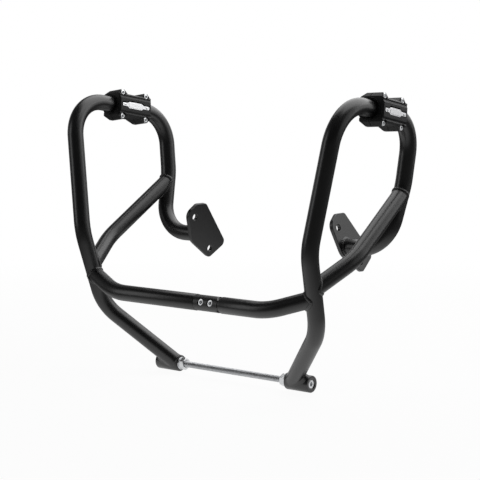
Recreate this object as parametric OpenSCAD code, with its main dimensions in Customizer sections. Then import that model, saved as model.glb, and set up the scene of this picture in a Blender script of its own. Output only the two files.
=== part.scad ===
// Motorcycle crash bars: two mirrored tube hoops, a bolted cross tube and an engine rod.
// Millimetres. X is sideways (+X is the rider's left), -Y is the front of the bike, Z is up.
// The origin is the middle of the threaded rod.

/* [Tubes] */
// Outside diameter of the main hoop tube
main_tube_d = 25.4; // [22:0.1:32]
// Outside diameter of the brace and cross tubes
brace_tube_d = 25; // [20:0.1:31]
// Wall of every tube
tube_wall = 2; // [1.5:0.1:3]

/* [Hoop shape] */
// Where the hoop's centre line leaves the rod's axis, from the middle
boss_reach = 117; // [105:1:150]
// Lower knee: sideways
knee_x = 213; // [180:1:240]
// Lower knee: forward of the rod
knee_fwd = 69; // [50:1:90]
// Lower knee: above the rod
knee_z = 94; // [80:1:110]
// Shin bend: sideways
shin_x = 223; // [190:1:250]
// Shin bend: forward of the rod
shin_fwd = 104; // [85:1:120]
// Shin bend: above the rod
shin_z = 213; // [195:1:230]
// Top front corner: sideways
crown_x = 260; // [230:1:290]
// Top front corner: forward of the rod
crown_fwd = 86; // [70:1:100]
// Top front corner: above the rod
crown_z = 425; // [410:1:450]
// Top rear corner: sideways
heel_x = 247; // [220:1:280]
// Top rear corner: behind the rod
heel_back = 119; // [105:1:135]
// Top rear corner: above the rod
heel_z = 392.5; // [370:0.5:405]
// Down tube bend: sideways
down_x = 236; // [210:1:260]
// Down tube bend: behind the rod
down_back = 115; // [100:1:130]
// Down tube bend: above the rod
down_z = 297; // [285:1:310]
// Foot bend: sideways
foot_x = 224; // [205:1:245]
// Foot bend: behind the rod
foot_back = 88; // [75:1:100]
// Foot bend: above the rod
foot_z = 199; // [190:1:210]
// Bend radii along the hoop, on the centre line
knee_bend = 75; // [65:1:85]
shin_bend = 100; // [85:1:110]
crown_bend = 58; // [50:1:66]
heel_bend = 57; // [45:1:62]
down_bend = 100; // [85:1:110]
foot_bend = 55; // [45:1:62]

/* [Brace] */
// How far up the shin tube the brace starts, as a part of its length
brace_start = 0.54; // [0.5:0.01:0.62]
// Brace bend: sideways
brace_x = 243; // [230:1:255]
// Brace bend: forward of the rod
brace_fwd = 24; // [10:1:40]
// Brace bend: above the rod
brace_z = 196; // [185:1:210]
// Where the brace meets the down tube, as a part of its length
brace_end = 0.14; // [0.1:0.01:0.2]
// Bend radius of the brace
brace_bend_r = 90; // [75:1:100]

/* [Cross tube] */
// How far up the shin tube the cross tube starts, as a part of its length
cross_start = 0.43; // [0.38:0.01:0.45]
// Bend of the cross tube: sideways
cross_x = 151; // [135:1:165]
// Cross tube forward of the rod
cross_fwd = 107; // [95:1:115]
// Cross tube above the rod
cross_z = 124; // [112:1:135]
// Bend radius of the cross tube
cross_bend = 100; // [85:1:110]
// Sideways place of the right tube's end at the joint
joint_from = 20; // [10:1:30]
// Sideways place of the left tube's end at the joint
joint_to = 69; // [62:1:78]
// Distance between the two joint bolts
joint_bolt_gap = 18; // [16:1:20]
// How far the joint bolts point upward, in degrees
joint_roll = 14; // [0:1:20]

/* [Engine rod] */
// Diameter of the threaded rod
rod_d = 10; // [8:1:12]
// Whole length of the threaded rod
rod_length = 274; // [266:1:280]
// Outside diameter of the lower bosses
boss_d = 26; // [25:0.5:32]
// Inner face of a boss from the middle
boss_inner = 108.5; // [104:0.5:112]
// Outer face of a boss from the middle
boss_outer = 152.5; // [148:0.5:158]
// Seat of a barrel nut, inward of which the boss only clears the rod
nut_seat = 13.5; // [10:0.5:16]
// How far a barrel nut's end sits inside the boss
nut_recess = 1; // [0.5:0.5:4]
// Height of a hex nut
hex_nut_h = 9.5; // [8:0.5:11]
// Thickness of a washer
washer_t = 2; // [1:0.5:3]

/* [Rear plates] */
// Thickness of a rear plate
plate_t = 6; // [4:0.5:8]
// Middle of a rear plate from the middle of the bike
plate_x = 149; // [140:1:160]
// How far the plate's top leans inward, in degrees
plate_lean = 11; // [0:1:20]
// How far the plate's rear edge turns inward, in degrees
plate_toe = 2.5; // [0:0.5:5]
// Radius of the two plate holes
plate_hole_r = 5.25; // [4:0.05:6.5]

/* [Crash sliders] */
// Length of a slider along the bar
slider_length = 72; // [70:1:80]
// Middle of a slider behind the top front corner, along the bar
slider_at = 118.5; // [108:0.5:126]
// How far each nameplate is turned up around its bar, in degrees
slider_roll_left = 3; // [-10:1:10]
slider_roll_right = 7; // [-10:1:10]
// Thickness of the rubber liner
liner_t = 2.8; // [2:0.1:3.5]
// Radius of a clamp screw's head
slider_head_r = 4.3; // [3.8:0.1:5]

/* [Hidden] */
$fn = 96;
main_r = main_tube_d / 2;
brace_r = brace_tube_d / 2;
rod_r = rod_d / 2;
boss_r = boss_d / 2;
// A barrel nut's outer end, and its solid part past the rod's end
nut_end = boss_outer - nut_recess;
nut_cap = nut_end - rod_length / 2;
weld = 2.8;
gap = 0.05;
// Loose fit of the rod in bosses and washers, and of a barrel nut in its seat
rod_gap = 0.25;
nut_gap = 0.1;
// Reach of a cut past the piece that it cuts
past = 20;

hoop = [
    [boss_reach, 0, 0],
    [knee_x, -knee_fwd, knee_z],
    [shin_x, -shin_fwd, shin_z],
    [crown_x, -crown_fwd, crown_z],
    [heel_x, heel_back, heel_z],
    [down_x, down_back, down_z],
    [foot_x, foot_back, foot_z],
    [plate_x - 8, foot_back + 1, foot_z]
];
hoop_bends = [knee_bend, shin_bend, crown_bend, heel_bend, down_bend, foot_bend];

brace = [
    along(hoop[1], hoop[2], brace_start),
    [brace_x, -brace_fwd, brace_z],
    along(hoop[5], hoop[6], brace_end)
];
brace_bends = [brace_bend_r];

tie = [
    along(hoop[1], hoop[2], cross_start),
    [cross_x, -cross_fwd, cross_z]
];
tie_bends = [cross_bend];

bolt_mid = (joint_from + joint_to) / 2 - 1;

function along(a, b, t) = a + (b - a) * t;
function unit(v) = v / norm(v);
function step(p, i) = unit(p[i + 1] - p[i]);
function bend_normal(p, i) = unit(cross(step(p, i - 1), step(p, i)));
function bend_angle(p, i) = acos(step(p, i - 1) * step(p, i));
function twist(p, i) = atan2(
    cross(bend_normal(p, i - 1), bend_normal(p, i)) * step(p, i - 1),
    bend_normal(p, i - 1) * bend_normal(p, i)
);
function setback(p, radii, i) =
    (i < 1 || i > len(radii)) ? 0 : radii[i - 1] * tan(bend_angle(p, i) / 2);
function leg(p, radii, i) =
    norm(p[i + 1] - p[i]) - setback(p, radii, i) - setback(p, radii, i + 1);

// Frame at the first point of a route: Z runs along the tube, Y is the first bend's axis
module at_start(p) {
    z = step(p, 0);
    y = bend_normal(p, 1);
    x = cross(y, z);
    multmatrix([
        [x[0], y[0], z[0], p[0][0]],
        [x[1], y[1], z[1], p[0][1]],
        [x[2], y[2], z[2], p[0][2]],
        [0, 0, 0, 1]
    ]) children();
}

// One bend that starts along +Z and turns towards +X
module elbow(angle, bend_r, r) {
    translate([bend_r, 0, 0])
        rotate([-90, 0, 0])
            rotate_extrude(angle = angle, start = 180)
                translate([bend_r, 0])
                    circle(r);
}

// Straight legs and bends of a route, each in the frame where the last one ended.
// A leg runs a little into the bends, which are a hair thicker, so that they join cleanly.
module chain(p, radii, r, over, i = 0) {
    first = i == 0 ? over : 0.5;
    last = i == len(radii) ? over : 0.5;
    translate([0, 0, -first])
        cylinder(h = leg(p, radii, i) + first + last, r = r);
    if (i < len(radii)) {
        a = bend_angle(p, i + 1);
        b = radii[i];
        translate([0, 0, leg(p, radii, i)]) {
            elbow(a, b, r + 0.05);
            translate([b, 0, 0])
                rotate([0, a, 0])
                    translate([-b, 0, 0])
                        rotate([0, 0, i + 1 < len(radii) ? twist(p, i + 2) : 0])
                            chain(p, radii, r, over, i + 1);
        }
    }
}

module route(p, radii, r, over = 0) {
    at_start(p) chain(p, radii, r, over);
}

// A straight rod between two points
module rod_between(a, b, r) {
    d = b - a;
    translate(a)
        rotate([0, acos(d[2] / norm(d)), atan2(d[1], d[0])])
            cylinder(h = norm(d), r = r);
}

module on_x(x0, x1, r) {
    translate([x0, 0, 0])
        rotate([0, 90, 0])
            cylinder(h = x1 - x0, r = r);
}

// Frame of a rear plate: X runs back, Y up the plate, Z outward from the bike
module on_plate() {
    translate([plate_x, foot_back + 1, foot_z])
        rotate([0, -plate_lean, plate_toe])
            rotate([90, 0, 90])
                children();
}

module hoop_solid() {
    route(hoop, hoop_bends, main_r);
}

module main_tube() {
    difference() {
        hoop_solid();
        route(hoop, hoop_bends, main_r - tube_wall, 4);
        on_x(boss_inner - past, boss_outer + past, boss_r);
        on_plate()
            translate([-main_r - past, -main_r - past, plate_t / 2 - 2 * past])
                cube([main_tube_d + 2 * past, main_tube_d + 2 * past, 2 * past]);
    }
}

module brace_tube() {
    difference() {
        route(brace, brace_bends, brace_r);
        route(brace, brace_bends, brace_r - tube_wall, 4);
        hoop_solid();
    }
}

// A cross tube that ends at a given sideways place, on its own side of the bike or past the middle
module cross_tube(inner_end) {
    points = [tie[0], tie[1], [inner_end, -cross_fwd, cross_z]];
    difference() {
        route(points, tie_bends, brace_r);
        route(points, tie_bends, brace_r - tube_wall, 4);
        hoop_solid();
    }
}

barrel_r = rod_r + 1.5;

module lower_boss() {
    difference() {
        on_x(boss_inner, boss_outer, boss_r);
        on_x(boss_inner - 1, boss_outer + 1, rod_r + rod_gap);
        on_x(boss_inner + nut_seat, boss_outer + 1, barrel_r + nut_gap);
    }
}

// Outline of a rear plate with its corners rounded by short facets
corners = [[-14, 52], [8, 52], [70, -20], [33, -44], [-15, -12], [-34, 37]];
corner_r = [10, 9, 9, 10, 25, 14];
function arc_at(p, i, r) =
    let (
        n = len(p),
        a = unit(p[(i + n - 1) % n] - p[i]),
        b = unit(p[(i + 1) % n] - p[i]),
        half = acos(a * b) / 2,
        c = p[i] + unit(a + b) * r / sin(half),
        s = -a * (r / tan(half)),
        from = p[i] + a * (r / tan(half)) - c,
        to = p[i] + b * (r / tan(half)) - c,
        a0 = atan2(from[1], from[0]),
        turn = (atan2(to[1], to[0]) - a0 + 540) % 360 - 180
    )
    [for (k = [0 : 8]) c + r * [cos(a0 + turn * k / 8), sin(a0 + turn * k / 8)]];

module rear_plate() {
    on_plate()
        translate([0, 0, -plate_t / 2])
            linear_extrude(plate_t)
                difference() {
                    polygon([for (i = [0 : len(corners) - 1]) each arc_at(corners, i, corner_r[i])]);
                    translate([-15, 30]) circle(plate_hole_r);
                    translate([32, -27]) circle(plate_hole_r);
                }
}

// The weld of one straight rod to the shin tube, with room for its neighbour
module shin_weld(p, q, neighbour_a, neighbour_b, room) {
    difference() {
        intersection() {
            rod_between(hoop[1], hoop[2], main_r + weld);
            rod_between(p, along(p, q, 0.6), brace_r + weld);
        }
        rod_between(hoop[1], hoop[2], main_r);
        rod_between(p, along(p, q, 0.7), brace_r);
        rod_between(neighbour_a, along(neighbour_a, neighbour_b, 0.7), brace_r + room);
    }
}

module down_tube_weld() {
    difference() {
        intersection() {
            route(hoop, hoop_bends, main_r + weld);
            rod_between(brace[2], along(brace[2], brace[1], 0.4), brace_r + weld);
        }
        hoop_solid();
        rod_between(brace[2], along(brace[2], brace[1], 0.5), brace_r);
    }
}

module boss_weld() {
    difference() {
        intersection() {
            on_x(boss_inner + 0.8, boss_outer - 0.8, boss_r + weld);
            rod_between(hoop[0], along(hoop[0], hoop[1], 0.4), main_r + weld);
        }
        on_x(boss_inner, boss_outer, boss_r);
        rod_between(hoop[0], along(hoop[0], hoop[1], 0.5), main_r);
    }
}

module plate_weld() {
    difference() {
        intersection() {
            rod_between(hoop[7], along(hoop[7], hoop[6], 0.3), main_r + weld);
            on_plate()
                translate([0, 0, plate_t / 2])
                    cylinder(h = weld, r = 30);
        }
        rod_between(hoop[7], along(hoop[7], hoop[6], 0.35), main_r);
    }
}

module weld_beads() {
    boss_weld();
    shin_weld(brace[0], brace[1], tie[0], tie[1], 0);
    shin_weld(tie[0], tie[1], brace[0], brace[1], weld + 0.3);
    down_tube_weld();
    plate_weld();
}

// The two halves of the bolted joint in the cross tube
module on_joint() {
    translate([0, -cross_fwd, cross_z])
        rotate([-joint_roll, 0, 0])
            children();
}

lug_r = brace_r - 0.5;
plug_r = brace_r - tube_wall - gap;

module joint_front_lug() {
    black() on_joint()
        difference() {
            union() {
                on_x(joint_from - 22, joint_from, plug_r);
                on_x(joint_from, joint_from + 3, lug_r);
                intersection() {
                    on_x(joint_from + 3, joint_to - 2, lug_r);
                    translate([0, gap / -2, 0])
                        rotate([90, 0, 0])
                            linear_extrude(20)
                                polygon([
                                    [joint_from, -15],
                                    [joint_to - 12, -15],
                                    [joint_to - 3, -5],
                                    [joint_to - 3, 5],
                                    [joint_to - 12, 15],
                                    [joint_from, 15]
                                ]);
                }
            }
            for (x = [bolt_mid - joint_bolt_gap / 2, bolt_mid + joint_bolt_gap / 2])
                translate([x, 0, 0])
                    rotate([90, 0, 0]) {
                        translate([0, 0, -1]) cylinder(h = 20, r = 3.2);
                        translate([0, 0, 6]) cylinder(h = 20, r = 5.8);
                    }
        }
}

module joint_rear_lug() {
    black() on_joint()
        difference() {
            union() {
                on_x(joint_to, joint_to + 22, plug_r);
                on_x(joint_to - 1.5, joint_to, lug_r);
                intersection() {
                    on_x(joint_from + 3.5, joint_to - 1.5, lug_r);
                    translate([0, 20 + gap / 2, 0])
                        rotate([90, 0, 0])
                            linear_extrude(20)
                                polygon([
                                    [joint_to, -15],
                                    [joint_from + 13, -15],
                                    [joint_from + 4, -5],
                                    [joint_from + 4, 5],
                                    [joint_from + 13, 15],
                                    [joint_to, 15]
                                ]);
                }
            }
            for (x = [bolt_mid - joint_bolt_gap / 2, bolt_mid + joint_bolt_gap / 2])
                translate([x, -1, 0])
                    rotate([-90, 0, 0])
                        cylinder(h = 20, r = 3 + gap);
        }
}

// Socket head screw along -Z with its head's seat at Z 0
module socket_screw(shank_r, length, head_r, head_h, key) {
    difference() {
        union() {
            translate([0, 0, -length]) cylinder(h = length, r = shank_r);
            cylinder(h = head_h, r = head_r);
        }
        translate([0, 0, head_h * 0.45])
            cylinder(h = head_h, r = key / 2 / cos(30), $fn = 6);
    }
}

module joint_bolts() {
    zinc() on_joint()
        for (x = [bolt_mid - joint_bolt_gap / 2, bolt_mid + joint_bolt_gap / 2])
            translate([x, -6, 0])
                rotate([90, 0, 0])
                    socket_screw(3, 16, 5.2, 5, 5);
}

module threaded_rod() {
    zinc() on_x(-rod_length / 2, rod_length / 2, rod_r);
}

module hex_nut() {
    difference() {
        translate([boss_inner - washer_t - hex_nut_h, 0, 0])
            rotate([0, 90, 0])
                cylinder(h = hex_nut_h, r = (rod_d + 7) / 2 / cos(30), $fn = 6);
        on_x(boss_inner - washer_t - hex_nut_h - 1, boss_inner, rod_r + gap);
    }
}

module washer() {
    difference() {
        on_x(boss_inner - washer_t, boss_inner, rod_r + 5);
        on_x(boss_inner - washer_t - 1, boss_inner + 1, rod_r + rod_gap);
    }
}

module barrel_nut() {
    difference() {
        on_x(boss_inner + nut_seat, nut_end, barrel_r);
        on_x(boss_inner + nut_seat - 1, rod_length / 2 + 1, rod_r + gap);
        translate([rod_length / 2 + nut_cap / 2, 0, 0])
            rotate([0, 90, 0])
                cylinder(h = nut_cap, r = (rod_r - 2) / cos(30), $fn = 6);
    }
}

// Frame of a slider: X is the nameplate side, Y runs back along the bar, Z is up
module on_slider(side) {
    a = [side * crown_x, -crown_fwd, crown_z];
    b = [side * heel_x, heel_back, heel_z];
    y = unit(b - a);
    x = unit([1, 0, 0] - y * y[0]);
    z = cross(x, y);
    o = a + y * slider_at;
    multmatrix([
        [x[0], y[0], z[0], o[0]],
        [x[1], y[1], z[1], o[1]],
        [x[2], y[2], z[2], o[2]],
        [0, 0, 0, 1]
    ])
        rotate([0, side > 0 ? -slider_roll_left : -slider_roll_right, 0])
            children();
}

liner_r = main_r + liner_t;
split = 0.4;
// Half height, raised face and back face of the clamp's body
body_h = liner_r + 3;
face = liner_r + 7;
back = liner_r + 2;
// Floor of the pocket that the nameplate lies in, and the room around it
sunk = face - 1.2;
pocket_gap = 0.8;
badge_t = 1.5;
badge_s = 24;
badge_z = -0.7;
// Screws from the slider's middle, along the bar and up
lug_s = slider_length / 2 - 10;
lug_z = liner_r + 4;
lug_face = face - 5;
lug_back = 1 - back;
lug_top = lug_z + 4.8;
screw_length = lug_face - lug_back - 11;

// Side outline of the four screw lugs, seen along the slider's X
module lug_outline() {
    for (s = [-1, 1])
        for (v = [-1, 1])
            polygon([
                [s * (lug_s - 12), v * (body_h - 6)],
                [s * (lug_s - 12), v * (body_h - 1)],
                [s * (lug_s - 4.5), v * (lug_top - 1)],
                [s * (lug_s - 2.5), v * lug_top],
                [s * (lug_s + 2.5), v * lug_top],
                [s * (lug_s + 4.5), v * (lug_top - 1)],
                [s * slider_length / 2, v * (lug_top - 7)],
                [s * slider_length / 2, v * (body_h - 6)]
            ]);
}

// A bar across the slider with the given end outline, along the slider's Y
module lengthwise(points) {
    translate([0, slider_length / 2, 0])
        rotate([90, 0, 0])
            linear_extrude(slider_length)
                polygon(points);
}

// The outline above, swept along the slider's X
module crosswise(x0, x1) {
    translate([x0, 0, 0])
        rotate([90, 0, 90])
            linear_extrude(x1 - x0)
                children();
}

module bar_hole(r) {
    rotate([90, 0, 0])
        translate([0, 0, -slider_length / 2 - past])
            cylinder(h = slider_length + 2 * past, r = r);
}

module at_screws() {
    for (s = [-lug_s, lug_s])
        for (v = [-lug_z, lug_z])
            translate([lug_face - 3, s, v])
                rotate([0, 90, 0])
                    children();
}

module at_plate_screws() {
    for (s = [-badge_s, badge_s])
        translate([sunk, s, badge_z])
            rotate([0, 90, 0])
                children();
}

module slider_front(side) {
    on_slider(side)
        difference() {
            union() {
                intersection() {
                    lengthwise([
                        [split, -body_h], [face - 9.5, -body_h], [face - 5, 0.5 - body_h],
                        [face - 2.8, 1.2 - body_h], [face - 0.8, 3.2 - body_h],
                        [face - 0.8, 3.8 - body_h], [face - 1.8, 5.2 - body_h],
                        [face, 8.4 - body_h], [face, body_h - 8.4],
                        [face - 1.8, body_h - 5.2], [face - 0.8, body_h - 3.8],
                        [face - 0.8, body_h - 3.2], [face - 2.8, body_h - 1.2],
                        [face - 5, body_h - 0.5], [face - 9.5, body_h], [split, body_h]
                    ]);
                    end_bevel();
                }
                crosswise(split, lug_face) lug_outline();
            }
            bar_hole(liner_r);
            at_screws() {
                translate([0, 0, -lug_face]) cylinder(h = 2 * lug_face, r = 2.75);
                cylinder(h = past, r = slider_head_r + 1);
            }
            crosswise(sunk, face + past) offset(delta = pocket_gap) plate_outline();
            at_plate_screws()
                translate([0, 0, -4]) cylinder(h = 10, r = 1.3);
        }
}

// Takes the corners off both ends of the raised face
module end_bevel() {
    half = slider_length / 2;
    linear_extrude(2 * lug_top, center = true)
        polygon([
            [0, -half], [face - 3.5, -half], [face + 0.5, 3 - half],
            [face + 0.5, half - 3], [face - 3.5, half], [0, half]
        ]);
}

module slider_back(side) {
    on_slider(side)
        difference() {
            union() {
                lengthwise([
                    [-split, -body_h], [9.5 - back, -body_h], [2.5 - back, 5 - body_h],
                    [-back, 10 - body_h], [-back, body_h - 10], [2.5 - back, body_h - 5],
                    [9.5 - back, body_h], [-split, body_h]
                ]);
                intersection() {
                    crosswise(lug_back, -split) lug_outline();
                    lengthwise([
                        [0, -lug_top - 1], [lug_back + 8.5, -lug_top - 1], [lug_back, 7.5 - lug_top],
                        [lug_back - 1, 7.5 - lug_top], [lug_back - 1, lug_top - 7.5],
                        [lug_back, lug_top - 7.5], [lug_back + 8.5, lug_top + 1], [0, lug_top + 1]
                    ]);
                }
            }
            bar_hole(liner_r);
            at_screws()
                translate([0, 0, -screw_length - 0.5]) cylinder(h = screw_length, r = 2.5 + gap);
        }
}

module slider_liner(side) {
    on_slider(side)
        difference() {
            rotate([90, 0, 0])
                translate([0, 0, 2 - slider_length / 2])
                    cylinder(h = slider_length - 4, r = liner_r);
            bar_hole(main_r);
        }
}

module slider_screws(side) {
    on_slider(side)
        at_screws()
            socket_screw(2.5, screw_length, slider_head_r, 5, 4);
}

module plate_outline() {
    polygon([
        [-30, -3.5], [-19, -3.5], [-15, -6.2], [12, -6.2], [16, -3.6], [30, -3.6],
        [30, 2.1], [17, 2.1], [12.5, 4.5], [-15, 4.5], [-19, 2.1], [-30, 2.1]
    ]);
}

module nameplate(side) {
    on_slider(side)
        crosswise(sunk, sunk + badge_t)
            difference() {
                plate_outline();
                translate([-badge_s, badge_z]) circle(1.4);
                translate([badge_s, badge_z]) circle(1.4);
            }
}

module nameplate_screws(side) {
    on_slider(side)
        at_plate_screws()
            translate([0, 0, badge_t])
                socket_screw(1.25, 5, 2, 1.2, 1.5);
}

module right() {
    mirror([1, 0, 0]) children();
}

module black() {
    color([0.07, 0.07, 0.075]) children();
}

module zinc() {
    color([0.8, 0.81, 0.82]) children();
}

module left_main_tube() { black() main_tube(); }
module right_main_tube() { black() right() main_tube(); }
module left_brace_tube() { black() brace_tube(); }
module right_brace_tube() { black() right() brace_tube(); }
module left_cross_tube() { black() cross_tube(joint_to); }
module right_cross_tube() { black() right() cross_tube(-joint_from); }
module left_lower_boss() { black() lower_boss(); }
module right_lower_boss() { black() right() lower_boss(); }
module left_rear_plate() { black() rear_plate(); }
module right_rear_plate() { black() right() rear_plate(); }
module left_weld_beads() { black() weld_beads(); }
module right_weld_beads() { black() right() weld_beads(); }
module left_hex_nut() { zinc() hex_nut(); }
module right_hex_nut() { zinc() right() hex_nut(); }
module left_washer() { zinc() washer(); }
module right_washer() { zinc() right() washer(); }
module left_barrel_nut() { zinc() barrel_nut(); }
module right_barrel_nut() { zinc() right() barrel_nut(); }
module left_slider_front() { black() slider_front(1); }
module right_slider_front() { black() slider_front(-1); }
module left_slider_back() { black() slider_back(1); }
module right_slider_back() { black() slider_back(-1); }
module left_slider_liner() { color([0.03, 0.03, 0.03]) slider_liner(1); }
module right_slider_liner() { color([0.03, 0.03, 0.03]) slider_liner(-1); }
module left_slider_screws() { zinc() slider_screws(1); }
module right_slider_screws() { zinc() slider_screws(-1); }
module left_nameplate() { zinc() nameplate(1); }
module right_nameplate() { zinc() nameplate(-1); }
module left_nameplate_screws() { zinc() nameplate_screws(1); }
module right_nameplate_screws() { zinc() nameplate_screws(-1); }

left_main_tube();
right_main_tube();
left_brace_tube();
right_brace_tube();
left_cross_tube();
right_cross_tube();
left_lower_boss();
right_lower_boss();
left_rear_plate();
right_rear_plate();
left_weld_beads();
right_weld_beads();
joint_front_lug();
joint_rear_lug();
joint_bolts();
threaded_rod();
left_hex_nut();
right_hex_nut();
left_washer();
right_washer();
left_barrel_nut();
right_barrel_nut();
left_slider_front();
right_slider_front();
left_slider_back();
right_slider_back();
left_slider_liner();
right_slider_liner();
left_slider_screws();
right_slider_screws();
left_nameplate();
right_nameplate();
left_nameplate_screws();
right_nameplate_screws();
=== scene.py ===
import math
import bpy
import bmesh
from mathutils import Matrix, Vector


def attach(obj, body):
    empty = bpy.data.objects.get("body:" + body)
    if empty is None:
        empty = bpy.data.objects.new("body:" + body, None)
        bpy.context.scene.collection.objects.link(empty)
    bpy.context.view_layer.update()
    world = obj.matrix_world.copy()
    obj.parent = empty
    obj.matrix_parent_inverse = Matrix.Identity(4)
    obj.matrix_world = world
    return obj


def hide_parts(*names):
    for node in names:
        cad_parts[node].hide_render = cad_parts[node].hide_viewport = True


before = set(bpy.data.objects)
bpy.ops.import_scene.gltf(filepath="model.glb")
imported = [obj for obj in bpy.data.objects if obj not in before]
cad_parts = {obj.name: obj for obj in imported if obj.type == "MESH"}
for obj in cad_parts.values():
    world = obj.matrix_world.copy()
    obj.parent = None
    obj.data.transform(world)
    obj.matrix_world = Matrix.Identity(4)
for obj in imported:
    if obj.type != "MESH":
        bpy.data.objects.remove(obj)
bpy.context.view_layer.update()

# Everything below is measured in millimetres and turned to metres when a piece is made.
mm = 0.001

# The spot that the photograph was taken from
cameraSpot = {
    "azimuth": 39.17,
    "elevation": 6.31,
    "distance": 2325.8,
    "lookAt": (-5.95, 24.2, 204.0),
    "lens": 111.84,
    "sensor": 36.0,
    "clipMetres": (0.05, 60),
}
azimuth = math.radians(cameraSpot["azimuth"])
cameraRight = Vector((math.cos(azimuth), math.sin(azimuth), 0))
cameraSide = Vector((math.sin(azimuth), -math.cos(azimuth), 0))


def placeCamera(spot):
    e = math.radians(spot["elevation"])
    back = cameraSide * math.cos(e) + Vector((0, 0, math.sin(e)))
    data = bpy.data.cameras.new("photoCamera")
    data.lens = spot["lens"]
    data.sensor_fit = "HORIZONTAL"
    data.sensor_width = spot["sensor"]
    data.clip_start, data.clip_end = spot["clipMetres"]
    camera = bpy.data.objects.new("photoCamera", data)
    bpy.context.scene.collection.objects.link(camera)
    camera.location = (Vector(spot["lookAt"]) + back * spot["distance"]) * mm
    camera.rotation_euler = (-back).to_track_quat("-Z", "Y").to_euler()
    bpy.context.scene.camera = camera


placeCamera(cameraSpot)
print("camera placed")


# Materials
def hexColour(text):
    channels = [int(text[i:i + 2], 16) / 255 for i in (1, 3, 5)]
    linear = [c / 12.92 if c <= 0.04045 else ((c + 0.055) / 1.055) ** 2.4 for c in channels]
    return (*linear, 1.0)


def addNode(tree, kind, values=None, links=None, **settings):
    node = tree.nodes.new(kind)
    for key, value in settings.items():
        setattr(node, key, value)
    for key, value in (values or {}).items():
        node.inputs[key].default_value = value
    for key, source in (links or {}).items():
        tree.links.new(source, node.inputs[key])
    return node


def newMaterial(name):
    material = bpy.data.materials.new(name)
    material.use_nodes = True
    material.node_tree.nodes.clear()
    return material, material.node_tree


def ownPlace(tree):
    return addNode(tree, "ShaderNodeTexCoord").outputs["Object"]


# The pattern's width is in millimetres, and the node counts how many fit in a metre
def noise(tree, place, pattern):
    values = {"Scale": 1000 / pattern["width"], "Detail": pattern["detail"]}
    return addNode(tree, "ShaderNodeTexNoise", values, {"Vector": place}).outputs["Fac"]


def twoTones(tree, factor, look):
    ramp = addNode(tree, "ShaderNodeValToRGB", links={"Fac": factor})
    for tone, position, colour in zip(ramp.color_ramp.elements, look["edges"], look["colours"]):
        tone.position = position
        tone.color = hexColour(colour)
    return ramp.outputs["Color"]


# The limits are the least and most value that goes in, then the least and most that comes out
def ranged(tree, value, limits):
    names = ("From Min", "From Max", "To Min", "To Max")
    return addNode(tree, "ShaderNodeMapRange", dict(zip(names, limits)), {"Value": value}).outputs["Result"]


def bumps(tree, factor, look):
    node = addNode(tree, "ShaderNodeBump", {"Strength": look["bump"], "Distance": look["bumpMetres"]},
                   {"Height": factor})
    return node.outputs["Normal"]


def finishMaterial(tree, values, links):
    shader = addNode(tree, "ShaderNodeBsdfPrincipled", values, links)
    addNode(tree, "ShaderNodeOutputMaterial", links={"Surface": shader.outputs["BSDF"]})


# Polyester powder coat, sprayed and baked: a satin skin with a faint orange peel.
# The peel's bumps are about 1 mm wide and are drawn at 2 mm so that they show.
coatLook = {
    "colours": ("#0b0b0c", "#111112"),
    "edges": (0.35, 0.7),
    "roughness": (0.28, 0.36),
    "specular": 0.8,
    "peel": {"width": 2.0, "detail": 2.0},
    "patch": {"width": 60.0, "detail": 3.0},
    "bump": 0.04,
    "bumpMetres": 0.0002,
}

# The same coat over a weld: a little duller, as it pools between the ripples
weldLook = {**coatLook, "colours": ("#0b0b0c", "#161617"), "roughness": (0.32, 0.42), "bump": 0.1}

# The same coat on solid lugs with sawn and milled faces, whose marks show through
lugLook = {**coatLook, "colours": ("#0b0b0c", "#101011"), "roughness": (0.36, 0.44),
           "peel": {"width": 3.0, "detail": 2.0}, "bump": 0.5}


def powderCoat(name, look):
    material, tree = newMaterial(name)
    place = ownPlace(tree)
    patch = noise(tree, place, look["patch"])
    peel = noise(tree, place, look["peel"])
    links = {
        "Base Color": twoTones(tree, patch, look),
        "Roughness": ranged(tree, peel, (0, 1, *look["roughness"])),
        "Normal": bumps(tree, peel, look),
    }
    finishMaterial(tree, {"Specular IOR Level": look["specular"]}, links)
    return material


tubeCoat = powderCoat("satinPowderCoat", coatLook)
weldCoat = powderCoat("powderCoatOverWeld", weldLook)
lugCoat = powderCoat("powderCoatOnSolidBar", lugLook)

# Glass-filled nylon, injection moulded: dull black with a fine spark-eroded grain.
# The grain is about 0.3 mm wide and is drawn at 1 mm so that it shows.
nylonLook = {
    "colours": ("#101011", "#19191a"),
    "edges": (0.0, 1.0),
    "roughness": (0.42, 0.58),
    "specular": 0.35,
    "grain": {"width": 1.0, "detail": 4.0},
    "bump": 0.18,
    "bumpMetres": 0.0002,
}

# Nitrile rubber, moulded: flat black with almost no shine.
rubberLook = {
    "colours": ("#0e0e0e", "#141414"),
    "edges": (0.0, 1.0),
    "roughness": (0.70, 0.85),
    "specular": 0.3,
    "grain": {"width": 0.8, "detail": 4.0},
    "bump": 0.1,
    "bumpMetres": 0.0002,
}


def moulded(name, look):
    material, tree = newMaterial(name)
    grain = noise(tree, ownPlace(tree), look["grain"])
    links = {
        "Base Color": twoTones(tree, grain, look),
        "Roughness": ranged(tree, grain, (0, 1, *look["roughness"])),
        "Normal": bumps(tree, grain, look),
    }
    finishMaterial(tree, {"Specular IOR Level": look["specular"]}, links)
    return material


sliderNylon = moulded("mouldedNylon", nylonLook)
linerRubber = moulded("nitrileRubber", rubberLook)

# Steel with bright zinc plate: cool silver, slightly cloudy, mirror-like only in small spots.
zincLook = {
    "colours": ("#d2d4d6", "#e6e7e8"),
    "edges": (0.3, 0.7),
    "roughness": (0.20, 0.34),
    "cloud": {"width": 3.0, "detail": 4.0},
    "stretch": 1.0,
}

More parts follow.
